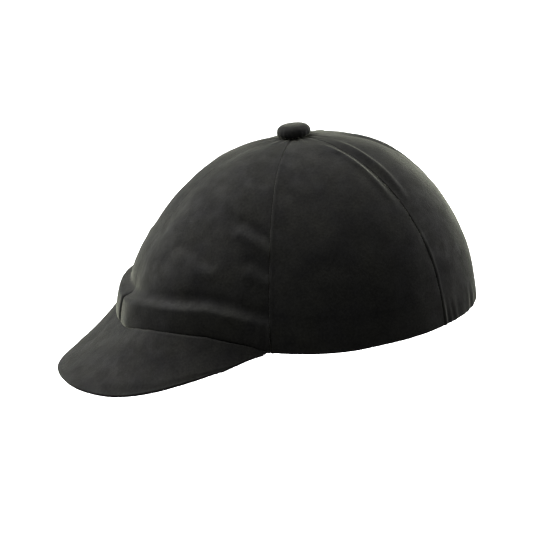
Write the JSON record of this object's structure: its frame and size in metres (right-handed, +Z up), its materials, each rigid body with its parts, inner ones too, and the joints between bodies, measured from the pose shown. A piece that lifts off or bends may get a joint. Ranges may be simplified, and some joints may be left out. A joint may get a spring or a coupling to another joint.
{
  "type": "riding helmet",
  "caption": "Domed riding helmet in a gored velvet cover with a crown button, curved peak, padded foam liner and folded-in chin harness.",
  "frame": {"origin": "centre of the footprint, on the surface the helmet stands on", "axes": "+X towards the nape, -X towards the peak, +Y towards the wearer's right, +Z up"},
  "size_m": [0.2998, 0.213, 0.1415],
  "materials": {
    "velvet": "short-pile velvet",
    "lining_cloth": "plain woven",
    "elastic": "ribbed knit",
    "shell_plastic": "smooth",
    "foam": "beaded foam",
    "pad_cloth": "brushed knit",
    "webbing": "woven webbing",
    "rivet_steel": "plated",
    "core_board": "moulded sheet",
    "moulded_plastic": "satin"
  },
  "bodies": {
    "helmet": {"outer_shell": "shell_plastic", "foam_liner": "foam", "inner_lining": "lining_cloth", "front_pad": "pad_cloth", "left_pad": "pad_cloth", "right_pad": "pad_cloth", "rear_pad": "pad_cloth", "crown_pad": "pad_cloth", "anchor_tab_left_front": "webbing", "anchor_tab_left_rear": "webbing", "anchor_tab_right_front": "webbing", "anchor_tab_right_rear": "webbing", "anchor_rivets": "rivet_steel", "anchor_washers": "rivet_steel"},
    "cover": {"gore_front_left": "velvet", "gore_front_right": "velvet", "gore_side_left": "velvet", "gore_side_right": "velvet", "gore_rear_left": "velvet", "gore_rear_right": "velvet", "hem_facing": "lining_cloth", "hem_elastic": "elastic", "crown_button_cap": "velvet", "crown_button_former": "core_board", "crown_button_shank": "lining_cloth", "crown_patch": "lining_cloth"},
    "peak": {"peak_core": "core_board", "peak_top_velvet": "velvet", "peak_lining": "lining_cloth"},
    "left_straps": {"left_front_strap": "webbing", "left_rear_strap": "webbing", "left_slider": "moulded_plastic"},
    "right_straps": {"right_front_strap": "webbing", "right_rear_strap": "webbing", "right_slider": "moulded_plastic"},
    "left_chin": {"left_chin_strap": "webbing"},
    "right_chin": {"right_chin_strap": "webbing", "buckle_tongue": "moulded_plastic"},
    "socket": {"buckle_socket": "moulded_plastic"},
    "front_prong": {"release_prong_front": "moulded_plastic"},
    "rear_prong": {"release_prong_rear": "moulded_plastic"}
  },
  "joints": [
    {"name": "cover_lift", "type": "slide", "parent": "helmet", "child": "cover", "axis": [0.061, 0, 0.9981], "range_m": [0, 0.15], "deforming": ["hem_facing", "hem_elastic"]},
    {"name": "peak_flex", "type": "hinge", "parent": "cover", "child": "peak", "pos_m": [-0.03486, 0, 0.01697], "axis": [0, 1, 0], "range_deg": [-6, 3], "stiffness_Nm_per_rad": 20},
    {"name": "left_straps_fold", "type": "hinge", "parent": "helmet", "child": "left_straps", "pos_m": [0.03873, -0.0958, 0.00807], "axis": [-0.9981, 0, 0.061], "range_deg": [0, 100]},
    {"name": "right_straps_fold", "type": "hinge", "parent": "helmet", "child": "right_straps", "pos_m": [0.03873, 0.0958, 0.00807], "axis": [0.9981, 0, -0.061], "range_deg": [0, 100]},
    {"name": "left_chin_fold", "type": "hinge", "parent": "left_straps", "child": "left_chin", "pos_m": [0.03883, -0.00711, 0.00961], "axis": [0.9981, 0, -0.061], "range_deg": [0, 120]},
    {"name": "right_chin_fold", "type": "hinge", "parent": "right_straps", "child": "right_chin", "pos_m": [0.03883, 0.00711, 0.00961], "axis": [-0.9981, 0, 0.061], "range_deg": [0, 120]},
    {"name": "chin_length", "type": "slide", "parent": "left_chin", "child": "socket", "axis": [-0.0011, -0.9998, -0.0174], "range_m": [0, 0.006]},
    {"name": "front_prong_press", "type": "hinge", "parent": "right_chin", "child": "front_prong", "pos_m": [0.03186, 0.06997, 0.00699], "axis": [-0.061, -0.0175, -0.998], "range_deg": [0, 6], "stiffness_Nm_per_rad": 0.5},
    {"name": "rear_prong_press", "type": "hinge", "parent": "right_chin", "child": "rear_prong", "pos_m": [0.04543, 0.06997, 0.00616], "axis": [0.061, 0.0175, 0.998], "range_deg": [0, 6], "stiffness_Nm_per_rad": 0.5}
  ]
}
